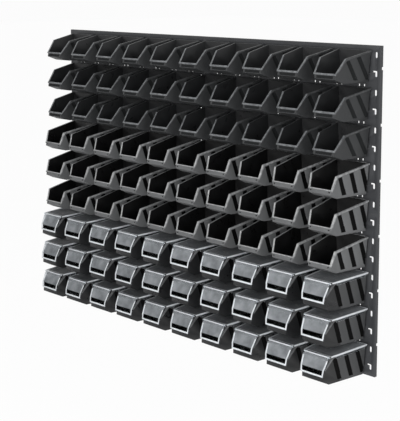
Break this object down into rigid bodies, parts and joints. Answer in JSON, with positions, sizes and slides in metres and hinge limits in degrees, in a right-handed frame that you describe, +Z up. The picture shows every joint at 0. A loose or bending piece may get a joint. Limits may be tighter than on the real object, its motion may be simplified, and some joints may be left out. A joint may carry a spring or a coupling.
{
  "type": "wall-mounted bin rack",
  "caption": "Wall rack of moulded plates with hook rails that carry rows of open and clear-lidded tapered bins for small parts.",
  "frame": {"origin": "centre of the back plane, where the rack lies on the wall", "axes": "+X to the right along the rows, +Y into the wall, +Z up"},
  "size_m": [1.1539, 0.1547, 0.78],
  "materials": {
    "plate_plastic": "fine-grained satin",
    "bin_plastic": "satin",
    "clear_plastic": "clear, polished"
  },
  "bodies": {
    "rack": {"plate_upper_left": "plate_plastic", "plate_upper_right": "plate_plastic", "plate_lower_left": "plate_plastic", "plate_lower_right": "plate_plastic"},
    "bins_row1": {"bins_row1": "bin_plastic"},
    "end_bin_row1": {"end_bin_row1": "bin_plastic"},
    "bins_row2": {"bins_row2": "bin_plastic"},
    "end_bin_row2": {"end_bin_row2": "bin_plastic"},
    "bins_row3": {"bins_row3": "bin_plastic"},
    "end_bin_row3": {"end_bin_row3": "bin_plastic"},
    "bins_row4": {"bins_row4": "bin_plastic"},
    "end_bin_row4": {"end_bin_row4": "bin_plastic"},
    "bins_row5": {"bins_row5": "bin_plastic"},
    "end_bin_row5": {"end_bin_row5": "bin_plastic"},
    "bins_row6": {"bins_row6": "bin_plastic"},
    "end_bin_row6": {"end_bin_row6": "bin_plastic"},
    "bins_row7": {"bins_row7": "bin_plastic", "lids_row7": "clear_plastic"},
    "end_bin_row7": {"end_bin_row7": "bin_plastic", "end_lid_row7": "clear_plastic"},
    "bins_row8": {"bins_row8": "bin_plastic", "lids_row8": "clear_plastic"},
    "end_bin_row8": {"end_bin_row8": "bin_plastic", "end_lid_row8": "clear_plastic"},
    "bins_row9": {"bins_row9": "bin_plastic", "lids_row9": "clear_plastic"},
    "end_bin_row9": {"end_bin_row9": "bin_plastic", "end_lid_row9": "clear_plastic"},
    "flap_row7_bin1": {"flap_row7_bin1": "clear_plastic"},
    "flap_row7_bin2": {"flap_row7_bin2": "clear_plastic"},
    "flap_row7_bin3": {"flap_row7_bin3": "clear_plastic"},
    "flap_row7_bin4": {"flap_row7_bin4": "clear_plastic"},
    "flap_row7_bin5": {"flap_row7_bin5": "clear_plastic"},
    "flap_row7_bin6": {"flap_row7_bin6": "clear_plastic"},
    "flap_row7_bin7": {"flap_row7_bin7": "clear_plastic"},
    "flap_row7_bin8": {"flap_row7_bin8": "clear_plastic"},
    "flap_row7_bin9": {"flap_row7_bin9": "clear_plastic"},
    "flap_row7_bin10": {"flap_row7_bin10": "clear_plastic"},
    "flap_row8_bin1": {"flap_row8_bin1": "clear_plastic"},
    "flap_row8_bin2": {"flap_row8_bin2": "clear_plastic"},
    "flap_row8_bin3": {"flap_row8_bin3": "clear_plastic"},
    "flap_row8_bin4": {"flap_row8_bin4": "clear_plastic"},
    "flap_row8_bin5": {"flap_row8_bin5": "clear_plastic"},
    "flap_row8_bin6": {"flap_row8_bin6": "clear_plastic"},
    "flap_row8_bin7": {"flap_row8_bin7": "clear_plastic"},
    "flap_row8_bin8": {"flap_row8_bin8": "clear_plastic"},
    "flap_row8_bin9": {"flap_row8_bin9": "clear_plastic"},
    "flap_row8_bin10": {"flap_row8_bin10": "clear_plastic"},
    "flap_row9_bin1": {"flap_row9_bin1": "clear_plastic"},
    "flap_row9_bin2": {"flap_row9_bin2": "clear_plastic"},
    "flap_row9_bin3": {"flap_row9_bin3": "clear_plastic"},
    "flap_row9_bin4": {"flap_row9_bin4": "clear_plastic"},
    "flap_row9_bin5": {"flap_row9_bin5": "clear_plastic"},
    "flap_row9_bin6": {"flap_row9_bin6": "clear_plastic"},
    "flap_row9_bin7": {"flap_row9_bin7": "clear_plastic"},
    "flap_row9_bin8": {"flap_row9_bin8": "clear_plastic"},
    "flap_row9_bin9": {"flap_row9_bin9": "clear_plastic"},
    "flap_row9_bin10": {"flap_row9_bin10": "clear_plastic"}
  },
  "joints": [
    {"name": "bins_row1_lift", "type": "slide", "parent": "rack", "child": "bins_row1", "axis": [0, 0, 1], "range_m": [0, 0.008]},
    {"name": "end_bin_row1_lift", "type": "slide", "parent": "rack", "child": "end_bin_row1", "axis": [0, 0, 1], "range_m": [0, 0.008]},
    {"name": "bins_row2_lift", "type": "slide", "parent": "rack", "child": "bins_row2", "axis": [0, 0, 1], "range_m": [0, 0.008]},
    {"name": "end_bin_row2_lift", "type": "slide", "parent": "rack", "child": "end_bin_row2", "axis": [0, 0, 1], "range_m": [0, 0.008]},
    {"name": "bins_row3_lift", "type": "slide", "parent": "rack", "child": "bins_row3", "axis": [0, 0, 1], "range_m": [0, 0.008]},
    {"name": "end_bin_row3_lift", "type": "slide", "parent": "rack", "child": "end_bin_row3", "axis": [0, 0, 1], "range_m": [0, 0.008]},
    {"name": "bins_row4_lift", "type": "slide", "parent": "rack", "child": "bins_row4", "axis": [0, 0, 1], "range_m": [0, 0.008]},
    {"name": "end_bin_row4_lift", "type": "slide", "parent": "rack", "child": "end_bin_row4", "axis": [0, 0, 1], "range_m": [0, 0.008]},
    {"name": "bins_row5_lift", "type": "slide", "parent": "rack", "child": "bins_row5", "axis": [0, 0, 1], "range_m": [0, 0.008]},
    {"name": "end_bin_row5_lift", "type": "slide", "parent": "rack", "child": "end_bin_row5", "axis": [0, 0, 1], "range_m": [0, 0.008]},
    {"name": "bins_row6_lift", "type": "slide", "parent": "rack", "child": "bins_row6", "axis": [0, 0, 1], "range_m": [0, 0.008]},
    {"name": "end_bin_row6_lift", "type": "slide", "parent": "rack", "child": "end_bin_row6", "axis": [0, 0, 1], "range_m": [0, 0.008]},
    {"name": "bins_row7_lift", "type": "slide", "parent": "rack", "child": "bins_row7", "axis": [0, 0, 1], "range_m": [0, 0.008]},
    {"name": "end_bin_row7_lift", "type": "slide", "parent": "rack", "child": "end_bin_row7", "axis": [0, 0, 1], "range_m": [0, 0.008]},
    {"name": "bins_row8_lift", "type": "slide", "parent": "rack", "child": "bins_row8", "axis": [0, 0, 1], "range_m": [0, 0.008]},
    {"name": "end_bin_row8_lift", "type": "slide", "parent": "rack", "child": "end_bin_row8", "axis": [0, 0, 1], "range_m": [0, 0.008]},
    {"name": "bins_row9_lift", "type": "slide", "parent": "rack", "child": "bins_row9", "axis": [0, 0, 1], "range_m": [0, 0.008]},
    {"name": "end_bin_row9_lift", "type": "slide", "parent": "rack", "child": "end_bin_row9", "axis": [0, 0, 1], "range_m": [0, 0.008]},
    {"name": "flap_row7_bin1_hinge", "type": "hinge", "parent": "bins_row7", "child": "flap_row7_bin1", "pos_m": [-0.50625, -0.137, -0.1469], "axis": [-1, 0, 0], "range_deg": [0, 100]},
    {"name": "flap_row7_bin2_hinge", "type": "hinge", "parent": "bins_row7", "child": "flap_row7_bin2", "pos_m": [-0.39375, -0.137, -0.1469], "axis": [-1, 0, 0], "range_deg": [0, 100]},
    {"name": "flap_row7_bin3_hinge", "type": "hinge", "parent": "bins_row7", "child": "flap_row7_bin3", "pos_m": [-0.28125, -0.137, -0.1469], "axis": [-1, 0, 0], "range_deg": [0, 100]},
    {"name": "flap_row7_bin4_hinge", "type": "hinge", "parent": "bins_row7", "child": "flap_row7_bin4", "pos_m": [-0.16875, -0.137, -0.1469], "axis": [-1, 0, 0], "range_deg": [0, 100]},
    {"name": "flap_row7_bin5_hinge", "type": "hinge", "parent": "bins_row7", "child": "flap_row7_bin5", "pos_m": [-0.05625, -0.137, -0.1469], "axis": [-1, 0, 0], "range_deg": [0, 100]},
    {"name": "flap_row7_bin6_hinge", "type": "hinge", "parent": "bins_row7", "child": "flap_row7_bin6", "pos_m": [0.05625, -0.137, -0.1469], "axis": [-1, 0, 0], "range_deg": [0, 100]},
    {"name": "flap_row7_bin7_hinge", "type": "hinge", "parent": "bins_row7", "child": "flap_row7_bin7", "pos_m": [0.16875, -0.137, -0.1469], "axis": [-1, 0, 0], "range_deg": [0, 100]},
    {"name": "flap_row7_bin8_hinge", "type": "hinge", "parent": "bins_row7", "child": "flap_row7_bin8", "pos_m": [0.28125, -0.137, -0.1469], "axis": [-1, 0, 0], "range_deg": [0, 100]},
    {"name": "flap_row7_bin9_hinge", "type": "hinge", "parent": "bins_row7", "child": "flap_row7_bin9", "pos_m": [0.39375, -0.137, -0.1469], "axis": [-1, 0, 0], "range_deg": [0, 100]},
    {"name": "flap_row7_bin10_hinge", "type": "hinge", "parent": "end_bin_row7", "child": "flap_row7_bin10", "pos_m": [0.50625, -0.137, -0.1469], "axis": [-1, 0, 0], "range_deg": [0, 100]},
    {"name": "flap_row8_bin1_hinge", "type": "hinge", "parent": "bins_row8", "child": "flap_row8_bin1", "pos_m": [-0.50625, -0.137, -0.23357], "axis": [-1, 0, 0], "range_deg": [0, 100]},
    {"name": "flap_row8_bin2_hinge", "type": "hinge", "parent": "bins_row8", "child": "flap_row8_bin2", "pos_m": [-0.39375, -0.137, -0.23357], "axis": [-1, 0, 0], "range_deg": [0, 100]},
    {"name": "flap_row8_bin3_hinge", "type": "hinge", "parent": "bins_row8", "child": "flap_row8_bin3", "pos_m": [-0.28125, -0.137, -0.23357], "axis": [-1, 0, 0], "range_deg": [0, 100]},
    {"name": "flap_row8_bin4_hinge", "type": "hinge", "parent": "bins_row8", "child": "flap_row8_bin4", "pos_m": [-0.16875, -0.137, -0.23357], "axis": [-1, 0, 0], "range_deg": [0, 100]},
    {"name": "flap_row8_bin5_hinge", "type": "hinge", "parent": "bins_row8", "child": "flap_row8_bin5", "pos_m": [-0.05625, -0.137, -0.23357], "axis": [-1, 0, 0], "range_deg": [0, 100]},
    {"name": "flap_row8_bin6_hinge", "type": "hinge", "parent": "bins_row8", "child": "flap_row8_bin6", "pos_m": [0.05625, -0.137, -0.23357], "axis": [-1, 0, 0], "range_deg": [0, 100]},
    {"name": "flap_row8_bin7_hinge", "type": "hinge", "parent": "bins_row8", "child": "flap_row8_bin7", "pos_m": [0.16875, -0.137, -0.23357], "axis": [-1, 0, 0], "range_deg": [0, 100]},
    {"name": "flap_row8_bin8_hinge", "type": "hinge", "parent": "bins_row8", "child": "flap_row8_bin8", "pos_m": [0.28125, -0.137, -0.23357], "axis": [-1, 0, 0], "range_deg": [0, 100]},
    {"name": "flap_row8_bin9_hinge", "type": "hinge", "parent": "bins_row8", "child": "flap_row8_bin9", "pos_m": [0.39375, -0.137, -0.23357], "axis": [-1, 0, 0], "range_deg": [0, 100]},
    {"name": "flap_row8_bin10_hinge", "type": "hinge", "parent": "end_bin_row8", "child": "flap_row8_bin10", "pos_m": [0.50625, -0.137, -0.23357], "axis": [-1, 0, 0], "range_deg": [0, 100]},
    {"name": "flap_row9_bin1_hinge", "type": "hinge", "parent": "bins_row9", "child": "flap_row9_bin1", "pos_m": [-0.50625, -0.137, -0.32023], "axis": [-1, 0, 0], "range_deg": [0, 100]},
    {"name": "flap_row9_bin2_hinge", "type": "hinge", "parent": "bins_row9", "child": "flap_row9_bin2", "pos_m": [-0.39375, -0.137, -0.32023], "axis": [-1, 0, 0], "range_deg": [0, 100]},
    {"name": "flap_row9_bin3_hinge", "type": "hinge", "parent": "bins_row9", "child": "flap_row9_bin3", "pos_m": [-0.28125, -0.137, -0.32023], "axis": [-1, 0, 0], "range_deg": [0, 100]},
    {"name": "flap_row9_bin4_hinge", "type": "hinge", "parent": "bins_row9", "child": "flap_row9_bin4", "pos_m": [-0.16875, -0.137, -0.32023], "axis": [-1, 0, 0], "range_deg": [0, 100]},
    {"name": "flap_row9_bin5_hinge", "type": "hinge", "parent": "bins_row9", "child": "flap_row9_bin5", "pos_m": [-0.05625, -0.137, -0.32023], "axis": [-1, 0, 0], "range_deg": [0, 100]},
    {"name": "flap_row9_bin6_hinge", "type": "hinge", "parent": "bins_row9", "child": "flap_row9_bin6", "pos_m": [0.05625, -0.137, -0.32023], "axis": [-1, 0, 0], "range_deg": [0, 100]},
    {"name": "flap_row9_bin7_hinge", "type": "hinge", "parent": "bins_row9", "child": "flap_row9_bin7", "pos_m": [0.16875, -0.137, -0.32023], "axis": [-1, 0, 0], "range_deg": [0, 100]},
    {"name": "flap_row9_bin8_hinge", "type": "hinge", "parent": "bins_row9", "child": "flap_row9_bin8", "pos_m": [0.28125, -0.137, -0.32023], "axis": [-1, 0, 0], "range_deg": [0, 100]},
    {"name": "flap_row9_bin9_hinge", "type": "hinge", "parent": "bins_row9", "child": "flap_row9_bin9", "pos_m": [0.39375, -0.137, -0.32023], "axis": [-1, 0, 0], "range_deg": [0, 100]},
    {"name": "flap_row9_bin10_hinge", "type": "hinge", "parent": "end_bin_row9", "child": "flap_row9_bin10", "pos_m": [0.50625, -0.137, -0.32023], "axis": [-1, 0, 0], "range_deg": [0, 100]}
  ]
}
